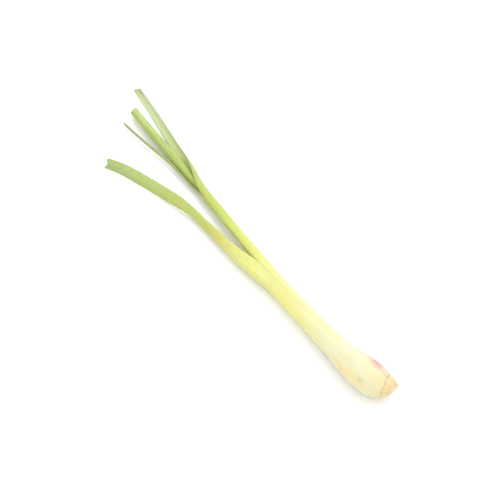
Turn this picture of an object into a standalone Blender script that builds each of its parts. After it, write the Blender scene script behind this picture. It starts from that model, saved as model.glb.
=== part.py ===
"""One cut lemongrass stalk, lying on a surface.

Metres, +Z up. +X runs from the bulb to the leaf tips, and Z is 0 on the surface. The origin is on the surface,
in the middle of the small flat that the bulb rests on.

A stalk is leaves wrapped round each other. Each leaf is a sheath, a curled sheet round a centre line, that opens
into a blade. So every leaf here is one sheet, given by how its section changes along X: where the centre of its
curl is, how tight the curl is, and the angles at which its two edges stop. Angles are in degrees, from straight
up towards +Y. Lengths are millimetres until a point is placed, and X is counted from near the sheaths' rim.
"""

import math

import bmesh
import bpy
from mathutils import Vector

MM = 0.001
GAP = 0.45  # clear space between one wrapped layer and the next
FLAT = Vector((10.5, 1.2, 0.0))  # the middle of the bulb's flat, which becomes the origin

# Lengths along the stalk
CROWN_END = -12.5
CROWN_FOOT = -4.9  # the crown's buried end
SHEATH_RIM = -5.9  # where the sheaths end round the crown
CROWN_SHOULDER = SHEATH_RIM - GAP
OUTER_COLLAR = 157.0  # where a leaf's sheath ends and its blade starts
SECOND_COLLAR = 192.0
SPEAR_FOOT = 184.0
OUTER_TIP = 267.5
SPEAR_TIP = 290.0
ROLL_TIP = 297.5
SECOND_TIP = 318.0

# Centre line of the stem: x, y, z
STEM_LINE = (
    (-12.9, -5.5, 11.6), (-8.4, -3.1, 11.45), (-4.0, -1.2, 11.35), (4.0, 0.9, 11.3), (13.0, 2.2, 11.0),
    (22.0, 3.1, 10.65), (40.0, 3.5, 10.0), (70.0, 3.2, 9.0), (98.0, 2.6, 8.0), (118.0, 0.5, 7.3),
    (139.0, -1.4, 6.6), (165.0, -3.3, 5.7), (195.0, -5.6, 4.95), (228.0, -7.2, 4.95), (256.0, -8.8, 5.1),
    (299.0, -12.0, 5.3),
)
# Radius over the second leaf's sheath: x, radius
STEM_RADIUS = (
    (-12.9, 4.7), (-8.4, 5.6), (-6.0, 7.1), (-3.0, 8.7), (1.0, 9.95), (6.0, 10.4), (13.0, 10.05), (22.0, 8.85),
    (31.0, 7.85), (42.0, 7.0), (58.0, 6.3), (75.0, 5.85), (98.0, 5.7), (112.0, 5.2), (130.0, 4.35),
    (150.0, 3.95), (195.0, 3.9),
)
# The crown carries on the bulb's taper from a shoulder that meets the sheaths' rims: x, radius
CROWN_PROFILE = (
    (CROWN_END, 3.1), (-12.1, 4.0), (-11.2, 4.8), (-9.8, 5.75), (-8.2, 6.8), (-6.9, 7.65), (CROWN_SHOULDER, 7.7),
    (CROWN_SHOULDER, 5.8), (CROWN_FOOT, 5.7),
)
CROWN_SLANT = 2.3  # how much shorter it is on its +Y side, where its end is cut on a slant
CROWN_RIPPLE = 0.025  # its outline's five low lobes, as a share of its radius

# Leaves are thick in the sheath, and thin at the rim and in the blade: sheath, blade
SECOND_THICKNESS = (0.9, 0.65)
OUTER_THICKNESS = (1.1, 0.65)
SPEAR_THICKNESS = (0.65, 0.65)
RIM_THICKENS = (-4.0, 4.0)
OUTER_THINS = (OUTER_COLLAR - 10, OUTER_COLLAR + 20)
SECOND_THINS = (SECOND_COLLAR - 25, SECOND_COLLAR - 8)
# The bulb lies on the surface: the outer sheath is flat there at height 0, and the second one a layer above it
OUTER_FLOOR = 0.0
SECOND_FLOOR = 1.45
ROLL_FLOOR = 2.75
SPEAR_FLOOR = 0.3
FLOOR_ENDS = (40.0, 80.0)

# Outer leaf. Up to the stretch where it lets go, its curl is centred on the stem line
OUTER_LETS_GO = (90.0, 112.0)
OUTER_CURL = (  # x, centre y, centre z, radius over the leaf
    (90.0, 2.9, 8.3, 7.3), (112.0, 4.3, 7.75, 7.25), (130.0, 6.7, 7.1, 6.4), (150.0, 7.9, 6.0, 5.3),
    (160.0, 8.3, 5.6, 4.9), (171.0, 8.2, 5.3, 4.7), (182.0, 7.9, 5.1, 5.1), (193.0, 8.2, 4.4, 6.0),
    (204.0, 9.6, 3.2, 6.9), (214.0, 11.9, 1.9, 7.0), (236.0, 18.1, -0.2, 7.0), (257.0, 25.4, -2.0, 7.0),
    (270.0, 31.9, -2.75, 7.0),
)
OUTER_EDGES = (  # x, first edge, second edge
    (-5.9, -9, 286), (-3.0, -13, 280), (6.0, -25, 268), (13.0, -34, 256), (24.0, -38, 243), (36.0, -30, 231),
    (58.0, -10, 216), (78.0, 2, 207), (98.0, 9, 200), (112.0, 7, 194), (130.0, 0, 188), (150.0, 2, 182),
    (160.0, 5, 178), (171.0, 11, 169), (182.0, 18, 150), (193.0, 22, 128), (204.0, 21, 112), (214.0, 18, 103),
    (236.0, 7, 86), (257.0, -2, 70), (270.0, -4, 64),
)
# Second leaf, from where it leaves the stem line
SECOND_CURL = (
    (185.0, -4.8, 5.2, 3.9), (195.0, -5.6, 4.95, 3.9), (201.0, -6.1, 4.95, 3.95), (212.0, -7.75, 5.0, 4.05),
    (225.0, -10.4, 5.15, 4.05), (237.0, -12.5, 5.2, 4.0), (250.0, -14.6, 5.1, 4.0), (277.0, -19.2, 4.7, 4.0),
    (305.0, -24.5, 4.15, 4.0), (321.0, -27.1, 3.95, 4.0),
)
SECOND_EDGES = (
    (185.0, -223, 113), (190.0, -216, 98), (195.0, -203, 62), (201.0, -192, 34), (212.0, -181, 3),
    (225.0, -174, -38), (237.0, -169, -74), (250.0, -168, -83), (277.0, -172, -89), (305.0, -186, -108),
    (321.0, -194, -118),
)
# Spear leaf, which stands on edge beside the roll
SPEAR_CURL = (
    (184.0, -4.8, 5.2, 2.45), (198.0, -5.75, 4.95, 2.6), (210.0, -6.1, 4.95, 3.75), (224.0, -7.1, 4.9, 4.6),
    (236.0, -8.1, 4.7, 5.6), (250.0, -8.4, 4.3, 7.0), (270.0, -6.7, 3.9, 8.0), (291.0, -5.9, 3.9, 8.0),
)
SPEAR_EDGES = (
    (184.0, 78, 148), (210.0, 70, 134), (224.0, 66, 122), (236.0, 72, 116), (250.0, 80, 116), (291.0, 88, 114),
)
# Rolled stem: x, radius once it is free of the wrapped layers
ROLL_RADIUS = (
    (150.0, 2.7), (180.0, 1.8), (198.0, 1.95), (210.0, 2.6), (222.0, 3.05), (285.0, 3.1), (299.0, 2.85),
)
ROLL_FREE = (130.0, 150.0)
ROLL_STEP = 0.1  # how far the roll winds in before it laps over itself, as a share of its radius
ROLL_WINDS = (170.0, 215.0)
ROLL_LAP = 64  # the angle of that lap
ROLL_SLANT = 1.2  # the slant of its cut end
ROLL_LEAN = 0.45  # how far it leans away from the spear leaf's foot, and along which stretch
ROLL_LEANS = (165.0, 184.0)
ROLL_STRAIGHTENS = (205.0, 225.0)

# The keel that stands out along a blade's back: x, height
OUTER_KEEL = ((150.0, 0.0), (185.0, 0.35), (215.0, 0.55), (270.0, 0.4))
SECOND_KEEL = ((205.0, 0.0), (235.0, 0.4), (321.0, 0.35))
SPEAR_KEEL = ((184.0, 0.0), (291.0, 0.0))

# Grid of each piece, lengthwise and across, with rows that crowd towards the bulb by this power
OUTER_GRID = (42, 20)
SECOND_GRID = (44, 18)
SPEAR_GRID = (22, 5)
ROLL_GRID = (38, 18)
CROWN_SIDES = 20
LEAF_CROWDING = 1.3
ROLL_CROWDING = 1.15


def along(keys, x):
    """The smooth curve through keys, each (x, value...), read at x. The values come back as a tuple."""
    if x <= keys[0][0]:
        return keys[0][1:]
    if x >= keys[-1][0]:
        return keys[-1][1:]
    i = max(n for n in range(len(keys) - 1) if keys[n][0] <= x)
    before, here, there, after = keys[max(i - 1, 0)], keys[i], keys[i + 1], keys[min(i + 2, len(keys) - 1)]
    span = there[0] - here[0]
    t = (x - here[0]) / span
    values = []
    for column in range(1, len(here)):
        rise = there[column] - here[column]
        leave = (there[column] - before[column]) / (there[0] - before[0]) * span
        arrive = (after[column] - here[column]) / (after[0] - here[0]) * span
        bend = leave + arrive - 2 * rise
        values.append(here[column] + t * (leave + t * (rise - leave - bend + t * bend)))
    return tuple(values)


def share(x, start, end):
    """0 at start and short of it, 1 at end and past it, and a smooth rise between them."""
    t = min(max((x - start) / (end - start), 0.0), 1.0)
    return t * t * (3 - 2 * t)


def stem_line(x):
    return along(STEM_LINE, x)


def stem_radius(x):
    return along(STEM_RADIUS, x)[0]


def outer_curl(x):
    """Centre y, centre z and radius of the outer leaf."""
    wrapped = (*stem_line(x), stem_radius(x) + GAP + OUTER_THICKNESS[0])
    free = along(OUTER_CURL, x)
    let_go = share(x, *OUTER_LETS_GO)
    return tuple(a + (b - a) * let_go for a, b in zip(wrapped, free))


def second_curl(x):
    if x < SECOND_CURL[0][0]:
        return (*stem_line(x), stem_radius(x))
    return along(SECOND_CURL, x)


def spear_curl(x):
    return along(SPEAR_CURL, x)


def roll_curl(x):
    """The roll runs up the middle of the stem, and leans away from the spear leaf's foot in the second collar."""
    y, z = stem_line(x)
    lean = ROLL_LEAN * share(x, *ROLL_LEANS) * (1 - share(x, *ROLL_STRAIGHTENS))
    wrapped = stem_radius(x) - SECOND_THICKNESS[0] - GAP
    free = along(ROLL_RADIUS, x)[0]
    return y - lean, z, wrapped + (free - wrapped) * share(x, *ROLL_FREE)


def at_angle(curl, x, angle, radius):
    """The point at an angle and distance round a curl's centre line, square to that line."""
    step = 1.0
    y, z = curl(x)[:2]
    y_before, z_before = curl(x - step)[:2]
    y_after, z_after = curl(x + step)[:2]
    tangent = Vector((2 * step, y_after - y_before, z_after - z_before)).normalized()
    side = Vector((0, 0, 1)).cross(tangent).normalized()
    up = tangent.cross(side)
    return Vector((x, y, z)) + radius * (math.sin(angle) * side + math.cos(angle) * up)


def lifted(point, x, floor):
    """The point, no lower than a piece's floor along the bulb."""
    point.z = max(point.z, floor * (1 - share(x, *FLOOR_ENDS)))
    return point


def material(name, colour, roughness):
    made = bpy.data.materials.new(name)
    made.use_nodes = True
    shader = made.node_tree.nodes["Principled BSDF"]
    shader.inputs["Base Color"].default_value = (*colour, 1.0)
    shader.inputs["Roughness"].default_value = roughness
    shader.inputs["Metallic"].default_value = 0.0
    made.diffuse_color = (*colour, 1.0)
    return made


def surface(rows, columns, place):
    """A grid of triangles whose points go where place(lengthwise, across) says, each share from 0 to 1."""
    bm = bmesh.new()
    bmesh.ops.create_grid(bm, x_segments=rows, y_segments=columns, size=1.0)
    bmesh.ops.triangulate(bm, faces=bm.faces)
    for vert in bm.verts:
        vert.co = (place((vert.co.x + 1) / 2, (vert.co.y + 1) / 2) - FLAT) * MM
    return bm


def finish(name, bm, finish_material):
    mesh = bpy.data.meshes.new(name)
    bm.to_mesh(mesh)
    bm.free()
    mesh.shade_smooth()
    mesh.materials.append(finish_material)
    made = bpy.data.objects.new(name, mesh)
    bpy.context.collection.objects.link(made)
    return made


def leaf(name, finish_material, grid, curl, edges, keel, rim, tip, thickness, thins, floor):
    """A leaf: its outer skin as a grid, thickened inwards. tip(across) is where that part of its cut end lies."""

    def place(lengthwise, across):
        x = rim + (tip(across) - rim) * lengthwise**LEAF_CROWDING
        first, second = along(edges, x)
        stands_out = along(keel, x)[0] * (1 - abs(2 * across - 1)) ** 2
        angle = math.radians(first + (second - first) * across)
        return lifted(at_angle(curl, x, angle, curl(x)[2] + stands_out), x, floor)

    made = finish(name, surface(*grid, place), finish_material)
    sheath = made.vertex_groups.new(name="sheath")
    for vert in made.data.vertices:
        x = vert.co.x / MM + FLAT.x
        sheath.add([vert.index], share(x, *RIM_THICKENS) * (1 - share(x, *thins)), "REPLACE")
    wall = made.modifiers.new("wall", "SOLIDIFY")
    wall.thickness = thickness[0] * MM
    wall.offset = -1.0
    wall.vertex_group = sheath.name
    wall.thickness_vertex_group = thickness[1] / thickness[0]
    return made


def rod(name, finish_material, rows, columns, place):
    """A solid of closed rings: the grid's long edges are welded and its two ends are filled."""
    bm = surface(rows, columns, place)
    bmesh.ops.remove_doubles(bm, verts=bm.verts, dist=1e-7)
    bmesh.ops.holes_fill(bm, edges=[edge for edge in bm.edges if edge.is_boundary])
    bmesh.ops.recalc_face_normals(bm, faces=bm.faces)
    return finish(name, bm, finish_material)


def make_root_crown():
    """The tan base of the stalk: a short cone, cut across, with its foot inside the sheaths."""

    def place(lengthwise, across):
        x, radius = CROWN_PROFILE[round(lengthwise * (len(CROWN_PROFILE) - 1))]
        angle = 2 * math.pi * across
        ripple = CROWN_RIPPLE * math.sin(5 * angle) * (x < SHEATH_RIM)
        slant = CROWN_SLANT * (1 + math.sin(angle)) / 2 * share(x, CROWN_SHOULDER, CROWN_END)
        return at_angle(stem_line, x + slant, angle, radius * (1 + ripple))

    tan = material("root tan", (0.62, 0.40, 0.20), 0.75)
    return rod("root_crown", tan, len(CROWN_PROFILE) - 1, CROWN_SIDES, place)


def make_rolled_stem():
    """The inner leaves, rolled in one shoot. Each ring winds in a little, then laps back out over itself."""
    foot = CROWN_FOOT + GAP
    rows, columns = ROLL_GRID

    def place(lengthwise, across):
        angle = math.radians(ROLL_LAP + 360 * across)
        slant = ROLL_SLANT * math.sin(angle) * share(lengthwise, 0.9, 1.0)
        x = foot + (ROLL_TIP - slant - foot) * lengthwise**ROLL_CROWDING
        round_to_lap = min(across * columns / (columns - 1), 1) * (across < 1)
        wound = ROLL_STEP * share(x, *ROLL_WINDS) * round_to_lap
        return lifted(at_angle(roll_curl, x, angle, roll_curl(x)[2] * (1 - wound)), x, ROLL_FLOOR)

    return rod("rolled_stem", material("young leaf green", (0.56, 0.70, 0.20), 0.5), rows, columns, place)


def make_second_leaf():
    """The leaf under the outer one. Its tip is cut on a slant."""
    return leaf(
        "second_leaf", material("pale lime sheath", (0.72, 0.76, 0.30), 0.45), SECOND_GRID, second_curl,
        SECOND_EDGES, SECOND_KEEL, SHEATH_RIM, lambda across: SECOND_TIP + 1.8 * (1 - 2 * across),
        SECOND_THICKNESS, SECOND_THINS, SECOND_FLOOR,
    )


def make_outer_leaf():
    """The outermost leaf. Its tip is cut a little unevenly."""
    return leaf(
        "outer_leaf", material("cream sheath", (0.86, 0.80, 0.52), 0.45), OUTER_GRID, outer_curl,
        OUTER_EDGES, OUTER_KEEL, SHEATH_RIM, lambda across: OUTER_TIP + 0.8 * math.sin(8 * across),
        OUTER_THICKNESS, OUTER_THINS, OUTER_FLOOR,
    )


def make_spear_leaf():
    """The narrow young leaf seen on edge. It starts inside the second leaf's collar."""
    return leaf(
        "spear_leaf", material("grey green blade", (0.42, 0.52, 0.26), 0.5), SPEAR_GRID, spear_curl,
        SPEAR_EDGES, SPEAR_KEEL, SPEAR_FOOT, lambda across: SPEAR_TIP - 1.5 * across,
        SPEAR_THICKNESS, SECOND_THINS, SPEAR_FLOOR,
    )


for old in list(bpy.data.objects):
    bpy.data.objects.remove(old, do_unlink=True)
make_root_crown()
make_rolled_stem()
make_second_leaf()
make_outer_leaf()
make_spear_leaf()
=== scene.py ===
"""A cut lemongrass stalk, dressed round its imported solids. Sizes are in millimetres, angles in degrees."""
import functools
import math
import random

import bmesh
import bpy
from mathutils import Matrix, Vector, noise


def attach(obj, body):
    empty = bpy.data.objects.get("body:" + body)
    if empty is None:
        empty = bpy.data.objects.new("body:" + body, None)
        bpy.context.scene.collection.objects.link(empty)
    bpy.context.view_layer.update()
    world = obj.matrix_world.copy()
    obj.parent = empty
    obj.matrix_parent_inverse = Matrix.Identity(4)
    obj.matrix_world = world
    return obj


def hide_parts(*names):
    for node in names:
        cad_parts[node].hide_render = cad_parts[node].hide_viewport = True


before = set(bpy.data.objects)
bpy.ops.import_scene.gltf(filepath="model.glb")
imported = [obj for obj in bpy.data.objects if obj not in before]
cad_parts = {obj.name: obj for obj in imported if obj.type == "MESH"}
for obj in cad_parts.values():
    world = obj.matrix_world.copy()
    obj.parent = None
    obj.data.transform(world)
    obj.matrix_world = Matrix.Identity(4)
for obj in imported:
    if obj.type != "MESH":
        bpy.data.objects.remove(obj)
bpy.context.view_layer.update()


# Root crown. The short solid base that every leaf grows from, tan and fibrous, cut across just below the
# sheaths. Rings round it are the scars of older leaves, and the low bumps near its end are roots that were
# trimmed off.
MM = 0.001
LIGHT_LEVEL = 1.42  # how bright a white surface is under the scene's light, 1 being a screen's white
FLAT = Vector((10.5, 1.2, 0.0))  # the middle of the bulb's flat, which is the origin
STALK_FOOT = -12.9  # where colours and fibres start to be counted, along x
STALK_LENGTH = 333.0
STEM_LINE = (  # centre line of the stem: x, y, z
    (-12.9, -5.5, 11.6), (-8.4, -3.1, 11.45), (-4.0, -1.2, 11.35), (4.0, 0.9, 11.3), (13.0, 2.2, 11.0),
    (22.0, 3.1, 10.65), (40.0, 3.5, 10.0), (70.0, 3.2, 9.0), (98.0, 2.6, 8.0), (118.0, 0.5, 7.3),
    (139.0, -1.4, 6.6), (165.0, -3.3, 5.7), (195.0, -5.6, 4.95), (228.0, -7.2, 4.95), (256.0, -8.8, 5.1),
    (299.0, -12.0, 5.3),
)
CROWN_SHOULDER = -5.97
CROWN_END = -12.5
CUT_RADIUS = 3.05
CROWN_PROFILE = (  # x, radius: the buried foot, the shoulder, the leaf scars, then the cut to its middle
    (-4.9, 0.0), (-4.9, 5.6), (CROWN_SHOULDER, 5.7), (CROWN_SHOULDER, 7.2), (-6.08, 7.5), (-6.7, 7.62),
    (-7.3, 7.42), (-7.55, 7.35), (-7.8, 7.1), (-8.3, 6.85), (-8.8, 6.6), (-9.05, 6.5), (-9.3, 6.15),
    (-9.8, 5.8), (-10.3, 5.5), (-10.5, 5.4), (-10.8, 5.05), (-11.3, 4.75), (-11.8, 4.3), (-12.15, 3.95),
    (-12.4, 3.5), (CROWN_END, CUT_RADIUS), (-12.55, 2.4), (-12.56, 1.8), (-12.55, 1.2), (-12.55, 0.6),
    (-12.55, 0.0),
)
CROWN_SLANT = 2.3  # how much shorter it is on its +Y side, where its end is cut on a slant
CROWN_STEPS = 120
CROWN_LOBES = 5
LOBE_HEIGHT = 0.12
CROWN_WAVE = 0.08
CUT_WAVE = 0.1
CROWN_DIP = 0.4  # how much lower it is where the second leaf's rim shows
DIP_STARTS = (4, 16)  # the dip comes in between these angles from up towards -Y
DIP_ENDS = (62, 78)
ROOT_STUMPS = 15
STUMP_PLACES = (-11.8, -9.6)
STUMP_SIZES = (0.7, 1.2)
STUMP_HEIGHT = 0.32
STUMP_WIDTH = 0.62
STUMP_TOP = 0.45  # the share of its width that is flat
STUMP_RING = 4.8  # the crown's radius where the roots stood


def along(keys, x):
    """The smooth curve through keys, each (x, value...), read at x. The values come back as a tuple."""
    if x <= keys[0][0]:
        return keys[0][1:]
    if x >= keys[-1][0]:
        return keys[-1][1:]
    i = max(n for n in range(len(keys) - 1) if keys[n][0] <= x)
    before, here, there, after = keys[max(i - 1, 0)], keys[i], keys[i + 1], keys[min(i + 2, len(keys) - 1)]
    span = there[0] - here[0]
    t = (x - here[0]) / span
    values = []
    for column in range(1, len(here)):
        rise = there[column] - here[column]
        leave = (there[column] - before[column]) / (there[0] - before[0]) * span
        arrive = (after[column] - here[column]) / (after[0] - here[0]) * span
        bend = leave + arrive - 2 * rise
        values.append(here[column] + t * (leave + t * (rise - leave - bend + t * bend)))
    return tuple(values)


def share(x, start, end):
    """0 before start, 1 after end, and a smooth rise between them."""
    t = min(max((x - start) / (end - start), 0.0), 1.0)
    return t * t * (3 - 2 * t)


def uneven(*place):
    """A smooth random height from about -1 to 1 at a place, the same on every run."""
    return noise.noise(Vector((*place, 0.0, 0.0, 0.0)[:3]))


def stem_line(x):
    return along(STEM_LINE, x)


@functools.lru_cache(maxsize=None)
def section(curl, x):
    """The point of a curl's centre line at x, and the two directions square to the line: sideways and up."""
    step = 1.0
    y, z = curl(x)[:2]
    y_before, z_before = curl(x - step)[:2]
    y_after, z_after = curl(x + step)[:2]
    tangent = Vector((2 * step, y_after - y_before, z_after - z_before)).normalized()
    side = Vector((0, 0, 1)).cross(tangent).normalized()
    return Vector((x, y, z)), side, tangent.cross(side)


def at_angle(curl, x, angle, radius):
    """The point at an angle, from up towards +Y, and a distance round a curl's centre line."""
    centre, side, up = section(curl, x)
    return centre + radius * (math.sin(angle) * side + math.cos(angle) * up)


def show(name, bm, slot, *finishes):
    """Makes a finished mesh a piece that rides on the stalk."""
    mesh = bpy.data.meshes.new(name)
    bm.to_mesh(mesh)
    bm.free()
    mesh.shade_smooth()
    for finish in finishes:
        mesh.materials.append(finish)
    made = bpy.data.objects.new(name, mesh)
    bpy.context.scene.collection.objects.link(made)
    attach(made, "root")
    return made


def tint(red, green, blue):
    """A screen colour, each part 0 to 255, in the shader's linear numbers."""
    return (*((part / 255) ** 2.2 for part in (red, green, blue)), 1.0)


def seen(red, green, blue):
    """The finish that looks like this screen colour under the scene's bright light.

    A part may pass 255, to make up for a surface that turns away from the light.
    """
    return (*(part / LIGHT_LEVEL for part in tint(red, green, blue)[:3]), 1.0)


def feed(tree, socket, value):
    if isinstance(value, bpy.types.NodeSocket):
        tree.links.new(value, socket)
    else:
        socket.default_value = value


def maths(tree, operation, first, second):
    node = tree.nodes.new("ShaderNodeMath")
    node.operation = operation
    feed(tree, node.inputs[0], first)
    feed(tree, node.inputs[1], second)
    return node.outputs[0]


def vector_maths(tree, operation, first, second=(0.0, 0.0, 0.0)):
    node = tree.nodes.new("ShaderNodeVectorMath")
    node.operation = operation
    feed(tree, node.inputs[0], first)
    feed(tree, node.inputs[1], second)
    return node.outputs["Value" if operation == "LENGTH" else "Vector"]


def drawn_out(tree, along, across, along_scale, across_scale=1.0):
    """A place for a pattern, scaled apart along the leaf and across it so that the pattern is drawn out."""
    node = tree.nodes.new("ShaderNodeCombineXYZ")
    feed(tree, node.inputs["X"], maths(tree, "MULTIPLY", along, along_scale))
    feed(tree, node.inputs["Y"], maths(tree, "MULTIPLY", across, across_scale))
    return node.outputs[0]


def own_place(tree):
    return tree.nodes.new("ShaderNodeTexCoord").outputs["Object"]


def uv_place(tree):
    """The shares of the way along the stalk and across the leaf."""
    split = tree.nodes.new("ShaderNodeSeparateXYZ")
    feed(tree, split.inputs[0], tree.nodes.new("ShaderNodeUVMap").outputs[0])
    return split.outputs[0], split.outputs[1]


def remap(tree, value, low, high, to_low=0.0, to_high=1.0):
    """Value between low and high, made a smooth rise between to_low and to_high."""
    node = tree.nodes.new("ShaderNodeMapRange")
    node.interpolation_type = "SMOOTHSTEP"
    keys = ("Value", "From Min", "From Max", "To Min", "To Max")
    for key, number in zip(keys, (value, low, high, to_low, to_high)):
        feed(tree, node.inputs[key], number)
    return node.outputs[0]


def blend(tree, factor, under, over, way="MIX"):
    node = tree.nodes.new("ShaderNodeMix")
    node.data_type = "RGBA"
    node.blend_type = way
    feed(tree, node.inputs["Factor"], factor)
    feed(tree, node.inputs["A"], under)
    feed(tree, node.inputs["B"], over)
    return node.outputs["Result"]


def lay_over(tree, under, mask, strength, over, way="MIX"):
    """One colour laid over another where a mask is, at a strength."""
    return blend(tree, maths(tree, "MULTIPLY", mask, strength), under, over, way)


def cloud(tree, vector, scale, detail=2.0, roughness=0.5):
    node = tree.nodes.new("ShaderNodeTexNoise")
    feed(tree, node.inputs["Vector"], vector)
    for key, number in (("Scale", scale), ("Detail", detail), ("Roughness", roughness)):
        node.inputs[key].default_value = number
    return node.outputs["Fac"]


def new_group(name, inputs, outputs):
    """An empty node group, its inputs given as name: starting value. Returns it and its two end nodes."""
    group = bpy.data.node_groups.new(name, "ShaderNodeTree")
    for key, value in inputs.items():
        kind = "NodeSocketVector" if isinstance(value, tuple) else "NodeSocketFloat"
        group.interface.new_socket(key, in_out="INPUT", socket_type=kind).default_value = value
    for key in outputs:
        group.interface.new_socket(key, in_out="OUTPUT", socket_type="NodeSocketFloat")
    return group, group.nodes.new("NodeGroupInput"), group.nodes.new("NodeGroupOutput")


def place_group(tree, group, **values):
    node = tree.nodes.new("ShaderNodeGroup")
    node.node_tree = group
    for key, value in values.items():
        feed(tree, node.inputs[key], value)
    return node


VEINS_PER_RIB = 4.0
VEIN_DRIFT = 0.7  # how far a vein wanders sideways, in vein spacings
DRIFT_PER_MM = 0.02
GRAIN_PER_MM = 0.25
GRAIN_PER_RIB = 9.0
STREAK_PER_MM = 0.035
RAGGED_SCALE = 420.0
SPECK_SCALE = (260.0, 900.0, 900.0)


def fibres_group():
    """Fibres that run lengthwise: their height, the veins between their crests, and streaks of tint."""
    inputs = {"Along": 0.0, "Across": 0.0, "Ribs": 20.0}
    group, into, out = new_group("fibres", inputs, ("Height", "Vein", "Streak"))
    ribs_across = maths(group, "MULTIPLY", into.outputs["Across"], into.outputs["Ribs"])
    length_mm = maths(group, "MULTIPLY", into.outputs["Along"], STALK_LENGTH)
    drift = cloud(group, drawn_out(group, length_mm, ribs_across, DRIFT_PER_MM), scale=0.7)
    wandering = maths(group, "MULTIPLY", drift, VEIN_DRIFT)
    veins_across = maths(group, "ADD", maths(group, "MULTIPLY", ribs_across, VEINS_PER_RIB), wandering)
    crest = remap(group, maths(group, "PINGPONG", veins_across, 0.5), 0.05, 0.5)
    grain_place = drawn_out(group, length_mm, ribs_across, GRAIN_PER_MM, GRAIN_PER_RIB)
    grain = cloud(group, grain_place, scale=1.0, detail=3.0)
    streak_place = drawn_out(group, length_mm, ribs_across, STREAK_PER_MM)
    streak = cloud(group, streak_place, scale=1.3, detail=4.0, roughness=0.6)
    height = maths(group, "ADD", maths(group, "MULTIPLY", crest, 0.7), maths(group, "MULTIPLY", grain, 0.5))
    feed(group, out.inputs["Height"], height)
    feed(group, out.inputs["Vein"], maths(group, "SUBTRACT", 1.0, crest))
    feed(group, out.inputs["Streak"], streak)
    return group


def patch_group():
    """A soft-edged, ragged patch round a centre: 1 in its middle, 0 outside it."""
    inputs = {"Centre": (0.0, 0.0, 0.0), "Reach": (1.0, 1.0, 1.0), "Ragged": 0.5}
    group, into, out = new_group("patch", inputs, ("Mask",))
    place = own_place(group)
    away = vector_maths(group, "SUBTRACT", place, into.outputs["Centre"])
    distance = vector_maths(group, "LENGTH", vector_maths(group, "DIVIDE", away, into.outputs["Reach"]))
    mottle = maths(group, "SUBTRACT", cloud(group, place, RAGGED_SCALE, detail=3.0), 0.5)
    ragged = maths(group, "MULTIPLY", mottle, into.outputs["Ragged"])
    feed(group, out.inputs["Mask"], remap(group, maths(group, "ADD", distance, ragged), 1.0, 0.15))
    return group


def specks_group():
    """Small scattered spots, drawn out along the stalk: 1 on a spot, 0 between them."""
    group, into, out = new_group("specks", {"Size": 0.2, "Share": 0.2}, ("Mask",))
    cells = group.nodes.new("ShaderNodeTexVoronoi")
    feed(group, cells.inputs["Vector"], vector_maths(group, "MULTIPLY", own_place(group), SPECK_SCALE))
    cells.inputs["Scale"].default_value = 1.0
    spot = maths(group, "LESS_THAN", cells.outputs["Distance"], into.outputs["Size"])
    draw = group.nodes.new("ShaderNodeSeparateColor")
    feed(group, draw.inputs[0], cells.outputs["Color"])
    chosen = maths(group, "LESS_THAN", draw.outputs[0], into.outputs["Share"])
    feed(group, out.inputs["Mask"], maths(group, "MULTIPLY", spot, chosen))
    return group


FIBRES = fibres_group()
PATCH = patch_group()
SPECKS = specks_group()
GLOW_REACH = (1.0, 0.85, 0.35)  # light goes less far in the leaf the bluer it is
GLOW_DEPTH = 1.5


def start_material(name, roughness, specular, subsurface=0.0):
    """A new material with its shader's constant numbers set on the shader itself."""
    made = bpy.data.materials.new(name)
    made.use_nodes = True
    shader = made.node_tree.nodes["Principled BSDF"]
    shader.inputs["Roughness"].default_value = roughness
    shader.inputs["Specular IOR Level"].default_value = specular
    shader.inputs["Subsurface Weight"].default_value = subsurface
    shader.inputs["Subsurface Radius"].default_value = GLOW_REACH
    shader.inputs["Subsurface Scale"].default_value = GLOW_DEPTH * MM
    return made, made.node_tree, shader


def raise_surface(tree, shader, height, depth):
    bump = tree.nodes.new("ShaderNodeBump")
    bump.inputs["Strength"].default_value = 1.0
    bump.inputs["Distance"].default_value = depth * MM
    feed(tree, bump.inputs["Height"], height)
    feed(tree, shader.inputs["Normal"], bump.outputs[0])


def add_patches(tree, colour, patches):
    """Lays patches of (centre, reach, raggedness, strength, colour) over a colour."""
    for centre, reach, ragged, strength, patch_colour in patches:
        centre_m = tuple(c * MM for c in centre)
        reach_m = tuple(r * MM for r in reach)
        patch = place_group(tree, PATCH, Centre=centre_m, Reach=reach_m, Ragged=ragged)
        colour = lay_over(tree, colour, patch.outputs["Mask"], strength, patch_colour)
    return colour


BARK = seen(257, 228, 166)
PALE_BARK = seen(266, 248, 200)
BARK_VEIN = seen(236, 198, 142)
LEAF_SCAR = seen(228, 184, 130)
CUT_FACE = seen(250, 224, 176)
PALE_CUT = seen(262, 242, 204)
CUT_PORE = seen(222, 186, 138)
BARK_SPECK = seen(186, 140, 92)
CROWN_RIBS = 26.0
SCAR_SCALE = (900.0, 5.0)  # lengthwise and round
RING_SCALE = (2.6, 2.0)  # outwards and round
PORE_SCALE = 2600.0
CUT_STARTS = (3.4, 2.9)  # bark gives way to the cut's face between these distances from its middle
CROWN_PATCHES = (
    # Painted shade: a deeper orange-tan over the crown's +Y flank.
    ((-18.5, 1.0, 14.5), (3.2, 6.0, 6.5), 0.4, 0.5, seen(244, 208, 150)),
    # Painted light: a pale tone over the cut end, past 255 in red, lifting the shade on the cut face.
    ((-22.4, -3.5, 11.0), (2.4, 4.0, 5.0), 0.4, 0.5, seen(266, 240, 192)),
)


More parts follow.
